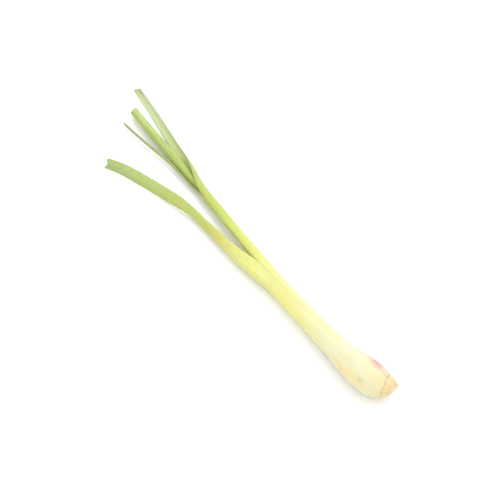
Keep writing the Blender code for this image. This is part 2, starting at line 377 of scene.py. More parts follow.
def crown_material():
    made, tree, shader = start_material("cut_root_base", roughness=0.72, specular=0.25, subsurface=0.1)
    length, turn = uv_place(tree)
    ring = tree.nodes.new("ShaderNodeAttribute")
    ring.attribute_name = "ring"
    from_middle = ring.outputs["Fac"]
    fibres = place_group(tree, FIBRES, Along=length, Across=turn, Ribs=CROWN_RIBS)
    bark = blend(tree, remap(tree, fibres.outputs["Streak"], 0.3, 0.7), BARK, PALE_BARK)
    bark = lay_over(tree, bark, fibres.outputs["Vein"], 0.2, BARK_VEIN)
    scars = cloud(tree, drawn_out(tree, length, turn, *SCAR_SCALE), scale=1.0, detail=3.0)
    bark = blend(tree, remap(tree, scars, 0.55, 0.75, 0.0, 0.35), bark, LEAF_SCAR)
    rings = cloud(tree, drawn_out(tree, from_middle, turn, *RING_SCALE), scale=1.0)
    pores = cloud(tree, own_place(tree), PORE_SCALE)
    cut = blend(tree, rings, CUT_FACE, PALE_CUT)
    cut = blend(tree, remap(tree, pores, 0.56, 0.7, 0.0, 0.4), cut, CUT_PORE)
    on_cut = remap(tree, from_middle, *CUT_STARTS)
    colour = add_patches(tree, blend(tree, on_cut, bark, cut), CROWN_PATCHES)
    spots = place_group(tree, SPECKS, Size=0.22, Share=0.1)
    colour = lay_over(tree, colour, spots.outputs["Mask"], 0.4, BARK_SPECK)
    feed(tree, shader.inputs["Base Color"], colour)
    fibrous = maths(tree, "MULTIPLY", fibres.outputs["Height"], maths(tree, "SUBTRACT", 1.0, on_cut))
    raise_surface(tree, shader, maths(tree, "ADD", fibrous, pores), depth=0.12)
    return made


def stumps_at(x, angle, stumps):
    """How far the trimmed roots stand out at a place on the crown."""
    height = 0.0
    for stump_x, stump_angle, size in stumps:
        round_way = math.remainder(angle - stump_angle, 2 * math.pi) * STUMP_RING
        near = math.hypot(x - stump_x, round_way) / (STUMP_WIDTH * size)
        height += STUMP_HEIGHT * size * (1 - share(near, STUMP_TOP, 1.0))
    return height


def crown_point(x, radius, angle, stumps):
    """Where a point of the plain turned crown ends up, with its lobes, roots, dip and slanting cut."""
    past_shoulder = share(-x, 6.5, 7.2)
    off_middle = share(radius, 2.0, 3.4)
    lobe = LOBE_HEIGHT * math.sin(CROWN_LOBES * angle)
    relief = lobe + stumps_at(x, angle, stumps) + CROWN_WAVE * uneven(x, 4 * angle)
    degrees = -math.degrees(angle)
    by_rim = share(radius, 6.0, 7.0) * (1 - share(-x, 6.5, 9.5))
    dipped = share(degrees, *DIP_STARTS) * (1 - share(degrees, *DIP_ENDS)) * by_rim
    slant = CROWN_SLANT * (1 + math.sin(angle) * min(radius / CUT_RADIUS, 1)) / 2
    x += slant * share(-x, -CROWN_SHOULDER, -CROWN_END)
    near_cut = share(-x, 10.0, 12.0)
    x += CUT_WAVE * uneven(radius * 1.8, angle, 5.0) * near_cut
    return at_angle(stem_line, x, angle, radius + past_shoulder * off_middle * relief - CROWN_DIP * dipped)


def make_crown():
    draw = random.Random(11)
    stumps = []
    for n in range(ROOT_STUMPS):
        stump_x = draw.uniform(*STUMP_PLACES)
        stump_angle = 2 * math.pi * (n + draw.uniform(-0.3, 0.3)) / ROOT_STUMPS
        stumps.append((stump_x, stump_angle, draw.uniform(*STUMP_SIZES)))
    bm = bmesh.new()
    chain = [bm.verts.new((x, 0.0, radius)) for x, radius in CROWN_PROFILE]
    edges = [bm.edges.new(pair) for pair in zip(chain, chain[1:])]
    bmesh.ops.subdivide_edges(bm, edges=edges, cuts=1)
    bmesh.ops.spin(
        bm, geom=bm.verts[:] + bm.edges[:], cent=(0, 0, 0), axis=(1, 0, 0), angle=2 * math.pi,
        steps=CROWN_STEPS, use_merge=True,
    )
    bmesh.ops.remove_doubles(bm, verts=bm.verts, dist=1e-5)
    bmesh.ops.recalc_face_normals(bm, faces=bm.faces)
    ring = bm.verts.layers.float.new("ring")
    uv = bm.loops.layers.uv.new("leaf")
    spots = []
    for vert in bm.verts:
        x, radius = vert.co.x, math.hypot(vert.co.y, vert.co.z)
        angle = math.atan2(vert.co.y, vert.co.z)
        spots.append(((x - STALK_FOOT) / STALK_LENGTH, angle / (2 * math.pi) + 0.5))
        vert[ring] = radius
        vert.co = (crown_point(x, radius, angle, stumps) - FLAT) * MM
    bm.verts.index_update()
    # A face across the seam counts on past 1, so that the pattern doesn't run backwards over it.
    for face in bm.faces:
        wraps = max(spots[vert.index][1] for vert in face.verts) > 0.75
        for loop in face.loops:
            length, turn = spots[loop.vert.index]
            loop[uv].uv = (length, turn + 1 if wraps and turn < 0.25 else turn)
    crown = show("root_crown_cut", bm, "root_tan", crown_material())
    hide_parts("root_crown")


make_crown()


# Rolled stem. The youngest leaves, still wound up in one tight shoot in the middle of the stalk. They fill
# the sheaths, come out of the second leaf's collar, and end in a slightly slanting cut that shows the turns
# of the roll.
STEM_RADIUS = (  # over the second leaf's sheath: x, radius
    (-12.9, 4.7), (-8.4, 5.6), (-6.0, 7.1), (-3.0, 8.7), (1.0, 9.95), (6.0, 10.4), (13.0, 10.05),
    (22.0, 8.85), (31.0, 7.85), (42.0, 7.0), (58.0, 6.3), (75.0, 5.85), (98.0, 5.7), (112.0, 5.2),
    (130.0, 4.35), (150.0, 3.95), (195.0, 3.9),
)
GAP = 0.45
SECOND_THICK = 0.9
FLOOR_ENDS = (40.0, 80.0)  # a piece's floor, its least height over the surface, fades out between these x
ROLL_FOOT = -4.4
ROLL_TIP = 297.5
ROLL_FLOOR = 2.75
ROLL_RADIUS = (  # where it is free of the sheaths: x, radius
    (150.0, 2.7), (180.0, 1.8), (198.0, 1.95), (208.0, 2.7), (218.0, 3.3), (240.0, 3.5), (262.0, 3.55),
    (285.0, 3.5), (299.0, 3.35),
)
ROLL_FREE = (130.0, 150.0)  # between these x it goes over from the sheath's radius to its own
ROLL_TURNS = 5.6
ROLL_CORE = 0.35  # radius left in the middle
ROLL_LAP = 64  # the angle where the outermost turn ends
ROLL_LEAN = 0.45
ROLL_LEANS = (165.0, 184.0)  # between these x it comes to lean towards -Y by that much
ROLL_SWING = 3.2  # so many leans back towards +Y
ROLL_SWINGS = (228.0, 296.0)
ROLL_HIDDEN = (0.2, 150.0)  # this share of its rows lies inside the sheaths, up to this x
ROLL_SLANT = 0.8
ROLL_STEP = 0.9  # how much further back its innermost turn is cut
ROLL_TORN = (0.25, 9, 3.0)  # how far its cut end is ragged, in how many waves, and the waves' seed
ROLL_WAVE = 0.05
ROLL_VEINS = 22  # in a turn
VEIN_HEIGHT = 0.02
ROLL_DROP = 0.1  # how far it draws in at its two long edges
ROLL_DROP_BAND = 1.6  # over this distance from them
ROLL_THIN = 0.35  # its thickness at those edges, as a share of the space that a turn has
ROLL_SWELL = 0.4  # and how much more it has away from them
ROLL_THIN_BAND = 2.0
ROLL_WALL = 1.0  # the most that it may be, which its mesh's weights are shares of
ROLL_GRID = (170, 132)  # the mesh's faces lengthwise and across
ROLL_RIBS = 40
ROLL_COLOURS = (
    (-12, (250, 244, 200)), (130, (236, 238, 140)), (185, (190, 208, 90)), (205, (182, 204, 88)),
    (225, (184, 204, 98)), (255, (189, 208, 114)), (285, (196, 216, 127)), (298, (186, 205, 122)),
)
ROLL_INSIDE = ((-12, (250, 246, 214)), (200, (206, 220, 140)), (298, (204, 218, 150)))
ROLL_EDGE = ((-12, (250, 244, 200)), (200, (168, 190, 96)), (290, (190, 206, 140)), (298, (214, 218, 160)))


def stem_radius(x):
    return along(STEM_RADIUS, x)[0]


@functools.lru_cache(maxsize=None)
def roll_curl(x):
    y, z = stem_line(x)
    lean = ROLL_LEAN * share(x, *ROLL_LEANS) * (1 - ROLL_SWING * share(x, *ROLL_SWINGS))
    wrapped = stem_radius(x) - SECOND_THICK - GAP
    free = along(ROLL_RADIUS, x)[0]
    return y - lean, z, wrapped + (free - wrapped) * share(x, *ROLL_FREE)


def lifted(point, x, floor):
    """The point, no lower than a piece's floor along the bulb."""
    point.z = max(point.z, floor * (1 - share(x, *FLOOR_ENDS)))
    return point


def ramp(tree, factor, stops):
    """A band of colours along the stalk, read by the share of its length. Stops are (x, colour as seen)."""
    node = tree.nodes.new("ShaderNodeValToRGB")
    elements = node.color_ramp.elements
    while len(elements) < len(stops):
        elements.new(0.5)
    for element, (x, colour) in zip(elements, stops):
        element.position = (x - STALK_FOOT) / STALK_LENGTH
        element.color = seen(*colour)
    feed(tree, node.inputs[0], factor)
    return node.outputs[0]


SKIN_SPECULAR = 0.16
SKIN_GLOW = 0.25  # how much of the light goes through the skin and comes out again
DEEP_STREAK = tint(249, 248, 234)
PALE_STREAK = seen(255, 253, 232)
VEIN_TINT = tint(190, 200, 130)
LEAF_SPECK = seen(196, 160, 84)
LEAF_SPECKS = 0.05  # the share of places for a speck that have one
EDGE_BAND = 0.16  # how far in from each margin its painted shade reaches, as a share of the leaf's width
DRY_BAND = (0.016, 0.006)  # a dry margin comes in between these shares of the width


def leaf_material(
    name, stops, ribs, roughness=0.42, painted_margin_shade=None, patches=(), specks=0.0, dry_margin=None,
):
    """Waxy leaf skin: colour along the stalk, streaks and veins, painted shade along the margins, patches and
    specks.
    """
    made, tree, shader = start_material(name, roughness, SKIN_SPECULAR, SKIN_GLOW)
    length, across = uv_place(tree)
    fibres = place_group(tree, FIBRES, Along=length, Across=across, Ribs=float(ribs))
    colour = ramp(tree, length, stops)
    deeper = blend(tree, 1.0, colour, DEEP_STREAK, "MULTIPLY")
    paler = blend(tree, 0.2, colour, PALE_STREAK)
    colour = blend(tree, remap(tree, fibres.outputs["Streak"], 0.3, 0.7), deeper, paler)
    colour = lay_over(tree, colour, fibres.outputs["Vein"], 0.1, VEIN_TINT, "MULTIPLY")
    # Painted shade: the blade is darker towards both of its margins.
    if painted_margin_shade:
        starts, full, strength, margin_shade_colour = painted_margin_shade
        from_edge = maths(tree, "PINGPONG", across, 0.5)
        in_blade = remap(tree, length, starts, full)
        shaded_margin = maths(tree, "MULTIPLY", remap(tree, from_edge, EDGE_BAND, 0.0), in_blade)
        colour = lay_over(tree, colour, shaded_margin, strength, margin_shade_colour)
    colour = add_patches(tree, colour, patches)
    if dry_margin:
        until, gone, strength, margin_colour = dry_margin
        in_sheath = remap(tree, length, gone, until)
        on_margin = maths(tree, "MULTIPLY", remap(tree, across, *DRY_BAND), in_sheath)
        colour = lay_over(tree, colour, on_margin, strength, margin_colour)
    if specks:
        spots = place_group(tree, SPECKS, Size=0.2, Share=specks)
        colour = lay_over(tree, colour, spots.outputs["Mask"], 0.45, LEAF_SPECK)
    feed(tree, shader.inputs["Base Color"], colour)
    rough = remap(tree, fibres.outputs["Streak"], 0.25, 0.75, roughness - 0.06, roughness + 0.1)
    feed(tree, shader.inputs["Roughness"], rough)
    raise_surface(tree, shader, fibres.outputs["Height"], depth=0.05)
    return made


DRIED = seen(216, 196, 132)
MOTTLE_SCALE = 1800.0


def edge_material(name, stops):
    """The thin edge of a leaf and its cut end, paler and drier than the skin."""
    made, tree, shader = start_material(name, roughness=0.6, specular=0.3, subsurface=0.2)
    mottle = cloud(tree, own_place(tree), MOTTLE_SCALE, detail=3.0)
    colour = ramp(tree, uv_place(tree)[0], stops)
    colour = blend(tree, remap(tree, mottle, 0.45, 0.75, 0.0, 0.5), colour, DRIED)
    feed(tree, shader.inputs["Base Color"], colour)
    raise_surface(tree, shader, mottle, depth=0.08)
    return made


def sheet(name, slot, grid, shape, thickest, *finishes):
    """A leaf from a grid: shape(lengthwise, across) gives its x, its outer point and its thickness there.

    The finishes are those of its outer skin, of its edges and, if it shows, of its inner skin.
    """
    bm = bmesh.new()
    bmesh.ops.create_grid(bm, x_segments=grid[0], y_segments=grid[1], size=1.0)
    uv = bm.loops.layers.uv.new("leaf")
    spots = []
    weights = []
    for vert in bm.verts:
        across = (vert.co.y + 1) / 2
        x, point, thick = shape((vert.co.x + 1) / 2, across)
        spots.append(((x - STALK_FOOT) / STALK_LENGTH, across))
        weights.append(thick / thickest)
        vert.co = (point - FLAT) * MM
    bm.verts.index_update()
    for face in bm.faces:
        for loop in face.loops:
            loop[uv].uv = spots[loop.vert.index]
    made = show(name, bm, slot, *finishes)
    thickness = made.vertex_groups.new(name="thickness")
    for index, weight in enumerate(weights):
        thickness.add([index], weight, "REPLACE")
    wall = made.modifiers.new("wall", "SOLIDIFY")
    wall.thickness = thickest * MM
    wall.offset = -1.0
    wall.vertex_group = thickness.name
    wall.use_quality_normals = True
    wall.material_offset = 2
    wall.material_offset_rim = 1
    return made


def torn(across, height, waves, seed):
    """How far a cut or torn edge stands out of its line at a share of the way across a leaf."""
    return height * uneven(waves * across, seed)


def roll_shape(lengthwise, across):
    hidden_rows, hidden_end = ROLL_HIDDEN
    angle = math.radians(ROLL_LAP) + 2 * math.pi * ROLL_TURNS * across
    if lengthwise < hidden_rows:
        x = ROLL_FOOT + (hidden_end - ROLL_FOOT) * lengthwise / hidden_rows
    else:
        shown = (lengthwise - hidden_rows) / (1 - hidden_rows)
        cut = -ROLL_SLANT * math.sin(angle) - ROLL_STEP * across + torn(across, *ROLL_TORN)
        near_end = share(shown, 0.8, 1.0)
        x = hidden_end + (ROLL_TIP + cut * near_end - hidden_end) * shown
    at = round(x, 3)
    outside = roll_curl(at)[2]
    pitch = (outside - ROLL_CORE) / ROLL_TURNS
    to_edge = min(across, 1 - across) * ROLL_TURNS * 2 * math.pi * outside
    radius = outside - pitch * ROLL_TURNS * across + ROLL_WAVE * uneven(x * 0.05, angle * 0.8, 2.0)
    radius -= ROLL_DROP * (1 - share(to_edge, 0.0, ROLL_DROP_BAND))
    radius += VEIN_HEIGHT * math.cos(angle * ROLL_VEINS)
    thick = pitch * (ROLL_THIN + ROLL_SWELL * share(to_edge, 0.0, ROLL_THIN_BAND))
    return x, lifted(at_angle(roll_curl, at, angle, radius), x, ROLL_FLOOR), min(thick, ROLL_WALL)


roll = sheet(
    "rolled_leaves", "young_leaf", ROLL_GRID, roll_shape, ROLL_WALL,
    leaf_material("young_leaf_skin", ROLL_COLOURS, ROLL_RIBS, roughness=0.4),
    edge_material("young_leaf_cut", ROLL_EDGE),
    leaf_material("young_leaf_inside", ROLL_INSIDE, ROLL_RIBS, roughness=0.5),
)
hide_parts("rolled_stem")


# Spear leaf. A narrow young blade that stands on edge beside the roll. It grows out of the second leaf's
# collar and ends in a small slanting cut.
SPEAR_FOOT = 184.0
SPEAR_TIP = 292.5
SPEAR_FLOOR = 0.3
SPEAR_CURL = (  # x, then the middle of the curl that its skin lies round, and the radius: y, z, radius
    (184.0, -4.8, 5.2, 2.45), (198.0, -5.75, 4.95, 2.6), (210.0, -6.1, 4.95, 3.75), (224.0, -7.1, 4.9, 4.6),
    (236.0, -8.1, 4.7, 5.6), (250.0, -8.4, 4.3, 7.0), (270.0, -7.5, 3.9, 8.0), (291.0, -5.9, 3.9, 8.0),
)
SPEAR_EDGES = (  # x, then the angles of its two margins round the curl, from up towards +Y
    (184.0, 78, 148), (210.0, 72, 134), (224.0, 68, 120), (236.0, 69, 112), (250.0, 73, 110),
    (291.0, 77, 108),
)
SPEAR_SLANT = 1.5
SPEAR_TORN = (0.3, 7, 8.0)
SPEAR_RIBS = 10
SPEAR_MIDRIB = 0.14
SPEAR_MIDRIB_WIDTH = 0.07  # as a share of the leaf's width
SPEAR_WAVE = 0.12
SPEAR_WAVES = (205, 230)  # the waves come in between these x
SPEAR_THIN = 0.16  # its thickness at the margins
SPEAR_SWELL = 0.26  # and how much more it has away from them
SPEAR_THIN_BAND = 0.2  # over this share of the width
SPEAR_WALL = 0.5
SPEAR_GRID = (120, 50)
SPEAR_COLOURS = (
    (180, (190, 208, 106)), (215, (190, 207, 122)), (250, (189, 205, 142)), (293, (176, 190, 140)),
)
SPEAR_INSIDE = ((180, (198, 214, 116)), (250, (206, 222, 160)), (293, (194, 206, 158)))
SPEAR_EDGE = ((180, (184, 204, 104)), (250, (168, 184, 120)), (291, (196, 196, 150)))


@functools.lru_cache(maxsize=None)
def spear_curl(x):
    return along(SPEAR_CURL, x)


def spear_shape(lengthwise, across):
    tip = SPEAR_TIP - SPEAR_SLANT * across + torn(across, *SPEAR_TORN)
    x = SPEAR_FOOT + (tip - SPEAR_FOOT) * lengthwise
    at = round(x, 3)
    first, second = along(SPEAR_EDGES, at)
    to_edge = min(across, 1 - across)
    relief = SPEAR_MIDRIB * math.exp(-(((across - 0.5) / SPEAR_MIDRIB_WIDTH) ** 2))
    relief += VEIN_HEIGHT * math.cos(2 * math.pi * SPEAR_RIBS * across)
    relief += SPEAR_WAVE * uneven(x * 0.06, 3 * across, 9.0) * share(x, *SPEAR_WAVES)
    angle = math.radians(first + (second - first) * across)
    point = at_angle(spear_curl, at, angle, spear_curl(at)[2] + relief)
    thick = SPEAR_THIN + SPEAR_SWELL * share(to_edge, 0.0, SPEAR_THIN_BAND)
    return x, lifted(point, x, SPEAR_FLOOR), thick


spear = sheet(
    "spear_blade", "grey_green_leaf", SPEAR_GRID, spear_shape, SPEAR_WALL,
    leaf_material("spear_leaf_skin", SPEAR_COLOURS, SPEAR_RIBS),
    edge_material("spear_leaf_edge", SPEAR_EDGE),
    leaf_material("spear_leaf_inside", SPEAR_INSIDE, SPEAR_RIBS),
)
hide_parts("spear_leaf")


# Second leaf. One leaf from bulb to tip: its sheath wraps the roll, blushes pink where it shows past the
# outer sheath, and turns at its collar into the longest blade, arched round its midrib and cut on a slant.
# The ligule, a thin torn skin, stands inside the collar.
SHEATH_RIM = -5.9
SECOND_TIP = 319.2
SECOND_SLANT = 1.2
SECOND_ROUND = 1.3  # how far the middle of its cut stands out
SECOND_RIM_TORN = (0.15, 14, 1.0)
SECOND_TIP_TORN = (0.3, 8, 6.0)
SECOND_COLLAR = 192.0
SECOND_OPENS = (SECOND_COLLAR + 5, SECOND_COLLAR + 35)  # it turns into an open blade between these x
SECOND_THINS = (SECOND_COLLAR - 25, SECOND_COLLAR - 4)
SECOND_FLOOR = 1.45
SECOND_BLADE_THICK = 0.42
SECOND_CURL = (  # past the stem, as the spear leaf's: x, y, z, radius
    (185.0, -4.8, 5.2, 3.9), (195.0, -5.6, 4.95, 3.9), (201.0, -6.1, 4.95, 3.95), (212.0, -7.75, 5.0, 4.05),
    (225.0, -10.4, 5.15, 4.05), (237.0, -12.5, 5.2, 4.0), (250.0, -14.6, 5.1, 4.0), (277.0, -19.2, 4.7, 4.0),
    (305.0, -24.5, 4.15, 4.0), (321.0, -27.1, 3.95, 4.0),
)
SECOND_EDGES = (
    (130.0, -223, 113), (185.0, -223, 113), (190.0, -216, 98), (195.0, -203, 62), (201.0, -192, 36),
    (212.0, -185, 12), (225.0, -190, -24), (237.0, -195, -62), (250.0, -196, -80), (277.0, -194, -89),
    (305.0, -203, -108), (321.0, -208, -116),
)
SECOND_RIBS = 22
SECOND_RELIEF = {
    "ribs": SECOND_RIBS, "rib_height": 0.03, "skin_wave": 0.06, "skin_pace": 0.04, "skin_seed": 12.0,
    "keel": ((205.0, 0.0), (235.0, 0.4), (321.0, 0.35)), "blade_wave": 0.22, "blade_seed": 15.0,
}
SECOND_TUCK = 1.05  # how far its margins draw in under its own lap
SECOND_TUCK_BAND = 4.5
SECOND_TUCKS = (60, 110)  # that comes in between these x
SECOND_UNTUCKS = (SECOND_COLLAR - 12, SECOND_COLLAR + 8)  # and goes between these
SECOND_THINNEST = 0.12
SECOND_THIN_BAND = 1.0  # how far in from a margin the blade is thinner
SHEATH_THIN_BAND = 2.5  # and how much further the sheath is
SECOND_RIM_THIN = 0.65  # its thickness at the rim round the crown, as a share of the full one
SECOND_RIM_THINS = (SHEATH_RIM - 2.1, SHEATH_RIM + 7.9)
SECOND_RIDGE = 0.16
MIDRIB = 0.16
MIDRIB_WIDTH = 0.045  # as a share of the leaf's width
RIBS_FADE = (0.2, 1.5)  # ribs die away between these distances from a margin
MARGIN_THIN = 0.25  # a leaf's thickness at its margins, as a share of the full one
MARGIN_SWAY = 0.5
MARGIN_NICKS = 0.15
COLLAR_WIDTH = 1.6
ROW_SPREAD = 1.15  # over 1, the mesh's rows lie closer together at the bulb
SECOND_GRID = (280, 132)
SECOND_COLOURS = (
    (-12, (250, 236, 206)), (5, (253, 238, 218)), (30, (252, 243, 214)), (60, (252, 248, 200)),
    (98, (250, 248, 165)), (125, (245, 246, 142)), (145, (232, 240, 122)), (165, (214, 230, 104)),
    (188, (202, 221, 98)), (200, (204, 219, 112)), (225, (190, 214, 122)), (262, (184, 210, 130)),
    (300, (178, 205, 132)), (318, (166, 188, 126)),
)
# Painted light: from the collar to the tip, the inside is coloured paler than the leaf is, some parts past
# 255, to lift the shade in the blade's channel and in the pocket at its collar.
SECOND_INSIDE = (
    (-12, (252, 246, 222)), (150, (240, 244, 170)), (192, (222, 238, 134)), (210, (236, 252, 160)),
    (225, (242, 258, 168)), (245, (248, 265, 192)), (285, (242, 257, 197)), (308, (226, 240, 180)),
    (320, (190, 203, 150)),
)
SECOND_EDGE = (
    (-12, (248, 226, 200)), (90, (248, 242, 176)), (180, (222, 214, 120)), (190, (206, 166, 96)),
    (201, (212, 196, 116)), (240, (206, 220, 160)), (318, (196, 204, 150)),
)
SECOND_MARGIN_SHADE = (0.66, 0.74, 0.5, seen(150, 172, 104))  # painted shade along the blade's margins: where it starts and is full, strength, colour
SECOND_INSIDE_MARGIN_SHADE = (0.66, 0.74, 0.4, seen(196, 216, 150))
SECOND_PATCHES = (
    ((-3.6, -6.4, 19.0), (9.0, 6.0, 6.0), 0.7, 0.95, seen(232, 176, 166)),
    ((3.5, -4.2, 19.5), (5.0, 3.0, 3.0), 0.6, 0.35, seen(252, 204, 150)),
    ((-12.0, -8.0, 18.0), (5.0, 6.0, 6.0), 0.5, 0.5, seen(236, 200, 168)),
    ((187.0, -3.6, 7.4), (8.0, 3.6, 3.8), 0.7, 0.65, seen(224, 182, 92)),
    ((168.0, -6.0, 8.0), (9.0, 2.5, 3.0), 0.9, 0.25, seen(226, 214, 110)),
)


@functools.lru_cache(maxsize=None)
def second_curl(x):
    if x < SECOND_CURL[0][0]:
        return (*stem_line(x), stem_radius(x))
    return along(SECOND_CURL, x)


def margin_wave(x, side):
    """How far a leaf's free margin wanders from its line."""
    sway = MARGIN_SWAY * uneven(x * 0.045, 3.1 * side, 4.0)
    return sway + MARGIN_NICKS * uneven(x * 0.21, 3.1 * side, 7.0)


def across_leaf(edges, x, across, radius, side):
    """The angle at a share of the way across a leaf whose margins wander, and the leaf's width there."""
    first, second = (math.radians(edge) for edge in along(edges, round(x, 3)))
    first -= margin_wave(x, side) / radius
    second += margin_wave(x, side + 1) / radius
    return first + (second - first) * across, (second - first) * radius


def leaf_relief(leaf, x, angle, across, to_edge, in_blade):
    """How far a leaf's skin stands out: ribs, slow waves, a keel, and the blade's midrib and waves."""
    relief = leaf["rib_height"] * math.cos(2 * math.pi * leaf["ribs"] * across) * share(to_edge, *RIBS_FADE)
    relief += leaf["skin_wave"] * uneven(x * leaf["skin_pace"], 2.0 * angle, leaf["skin_seed"])
    relief += along(leaf["keel"], x)[0] * (1 - abs(2 * across - 1)) ** 2
    relief += MIDRIB * in_blade * math.exp(-(((across - 0.5) / MIDRIB_WIDTH) ** 2))
    relief += leaf["blade_wave"] * in_blade * uneven(x * 0.03, 4 * across, leaf["blade_seed"])
    return relief


def collar_ridge(x, collar, height):
    """The low ridge round a leaf where its sheath turns into its blade."""
    return height * math.exp(-(((x - collar) / COLLAR_WIDTH) ** 2))


def risen(least, part):
    """A share that goes up from least to 1 as part goes from 0 to 1."""
    return least + (1 - least) * part


def second_shape(lengthwise, across):
    rim = SHEATH_RIM + torn(across, *SECOND_RIM_TORN)
    tip = SECOND_TIP + SECOND_SLANT * (1 - 2 * across) + SECOND_ROUND * math.sin(math.pi * across)
    tip += torn(across, *SECOND_TIP_TORN)
    x = rim + (tip - rim) * lengthwise**ROW_SPREAD
    at = round(x, 3)
    radius = second_curl(at)[2]
    in_blade = share(x, *SECOND_OPENS)
    angle, width = across_leaf(SECOND_EDGES, x, across, radius, 1)
    to_edge = min(across, 1 - across) * width
    relief = leaf_relief(SECOND_RELIEF, x, angle, across, to_edge, in_blade)
    tucked = share(x, *SECOND_TUCKS) * (1 - share(x, *SECOND_UNTUCKS))
    tuck = SECOND_TUCK * (1 - share(to_edge, 0.0, SECOND_TUCK_BAND)) * tucked
    ridge = collar_ridge(x, SECOND_COLLAR, SECOND_RIDGE)
    point = at_angle(second_curl, at, angle, radius + relief - tuck + ridge)
    thick = SECOND_THICK + (SECOND_BLADE_THICK - SECOND_THICK) * share(x, *SECOND_THINS)
    thin_band = SECOND_THIN_BAND + SHEATH_THIN_BAND * (1 - in_blade)
    thick *= risen(MARGIN_THIN, share(to_edge, 0.0, thin_band))
    thick *= risen(SECOND_RIM_THIN, share(x, *SECOND_RIM_THINS))
    return x, lifted(point, x, SECOND_FLOOR), max(thick, SECOND_THINNEST)


second = sheet(
    "second_leaf_whole", "lime_sheath", SECOND_GRID, second_shape, SECOND_THICK,
    leaf_material(
        "second_leaf_skin", SECOND_COLOURS, SECOND_RIBS, roughness=0.4, painted_margin_shade=SECOND_MARGIN_SHADE,
        patches=SECOND_PATCHES, specks=LEAF_SPECKS,
    ),
    edge_material("second_leaf_edge", SECOND_EDGE),
    leaf_material(
        "second_leaf_inside", SECOND_INSIDE, SECOND_RIBS, roughness=0.5, painted_margin_shade=SECOND_INSIDE_MARGIN_SHADE,
    ),
)
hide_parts("second_leaf")

LIGULE_HEIGHT = 2.1
LIGULE_THICK = 0.12
LIGULE_PAST = 13  # how far past the margin its end shows
LIGULE_FOOT = 1.2  # how far before the collar it starts
LIGULE_MEAN = 0.72  # its usual share of its height, which tears and nicks change
LIGULE_TEARS = (0.5, 19)
LIGULE_NICKS = (0.2, 70)
LIGULE_LEAN = 0.3
LIGULE_WAVE = 0.06
LIGULE_GRID = (12, 160)
LIGULE_COLOURS = (
    (140, (252, 238, 190)), (162, (252, 236, 186)), (180, (232, 190, 120)), (200, (226, 178, 110)),
)
SECOND_LIGULE_AT = SECOND_COLLAR - 1.0
SECOND_LIGULE_ROOM = 0.8


def make_ligule(name, slot, curl, edges, collar, room):
    """The thin torn skin that stands inside a leaf's collar, room in from the leaf's outer face."""
    def shape(lengthwise, across):
        ragged = LIGULE_MEAN + torn(across, *LIGULE_TEARS, collar) + torn(across, *LIGULE_NICKS, collar)
        x = collar - LIGULE_FOOT + LIGULE_HEIGHT * lengthwise * (1 + lengthwise * (ragged - 1))
        at = round(x, 3)
        first, second = along(edges, at)
        angle = math.radians(first + (second + LIGULE_PAST - first) * across)
        radius = curl(at)[2] - room - LIGULE_LEAN * lengthwise
        radius += LIGULE_WAVE * uneven(12 * across, 5.0 * lengthwise, collar)
        return x, at_angle(curl, at, angle, radius), LIGULE_THICK

    sheet(name, slot, LIGULE_GRID, shape, LIGULE_THICK, edge_material(name + "_skin", LIGULE_COLOURS))


make_ligule("second_ligule", "lime_sheath", second_curl, SECOND_EDGES, SECOND_LIGULE_AT, SECOND_LIGULE_ROOM)


# Outer leaf. The outermost whole leaf: a thick cream sheath round the bulb and lower stem that tapers to a
# thin free margin, lets go at the fork, and turns at its collar into the left-hand blade, arched and cut
# straight. It has a ligule too.
OUTER_RIM = SHEATH_RIM - 0.4
OUTER_RIM_TORN = (0.25, 16, 2.0)
OUTER_TIP = 267.5
OUTER_TIP_WAVE = 0.8
OUTER_TIP_TORN = (0.25, 12, 5.0)
OUTER_COLLAR = 157.0
OUTER_OPENS = (OUTER_COLLAR + 5, OUTER_COLLAR + 40)
OUTER_THINS = (OUTER_COLLAR - 30, OUTER_COLLAR + 5)
OUTER_THICK = 1.1
OUTER_BLADE_THICK = 0.45
OUTER_FLOOR = 0.0
OUTER_LETS_GO = (90.0, 112.0)  # between these x it goes over from the stem's line to its own
OUTER_UNWRAPS = (100, 124)  # and between these its margins stop being drawn in and thinned for the wrap
FORK = (119.0, 136.0)  # its free margin lies on the second leaf up to here, and is clear of it from here on
FORK_GAP = 0.12
MARGIN_BAND = 8.0  # how far in from the margin the leaf bends down to it
OUTER_TUCK = 1.17  # how far its margins draw in on the second leaf
OUTER_TUCK_BAND = 6.5
RIM_TUCK = 0.6  # how far its rim draws in on the crown
RIM_TUCKS = (OUTER_RIM, SHEATH_RIM + 3.2)
OUTER_RIM_THIN = 0.3
OUTER_RIM_THINS = (SHEATH_RIM - 0.5, SHEATH_RIM + 7)
OUTER_THIN_BAND = 1.2  # how far in from a margin the free leaf is thinner
WRAP_THIN_BAND = 4.8  # and how much further the wrapped one is
OUTER_THINNEST = 0.14
OUTER_RIDGE = 0.18
OUTER_GRID = (280, 132)
OUTER_CURL = (
    (90.0, 2.9, 8.3, 7.3), (112.0, 4.3, 7.75, 7.25), (130.0, 6.7, 7.1, 6.4), (150.0, 7.9, 6.0, 5.3),
    (160.0, 8.3, 5.6, 4.9), (171.0, 8.2, 5.3, 4.7), (182.0, 7.9, 5.1, 5.1), (193.0, 8.2, 4.4, 6.0),
    (204.0, 9.6, 3.2, 6.9), (214.0, 11.9, 1.9, 7.0), (236.0, 18.1, -0.2, 7.0), (257.0, 25.4, -2.0, 7.0),
    (270.0, 31.9, -2.75, 7.0),
)
OUTER_EDGES = (
    (-5.9, -9, 286), (-3.0, -13, 280), (6.0, -25, 268), (13.0, -34, 256), (24.0, -38, 243), (36.0, -30, 231),
    (58.0, -10, 216), (78.0, 2, 207), (98.0, 9, 200), (112.0, 7, 194), (130.0, 0, 188), (150.0, 2, 182),
    (160.0, 5, 178), (171.0, 11, 169), (182.0, 18, 150), (193.0, 22, 128), (204.0, 21, 112), (214.0, 18, 103),
    (236.0, 7, 86), (257.0, -2, 70), (270.0, -4, 64),
)
OUTER_RIBS = 22
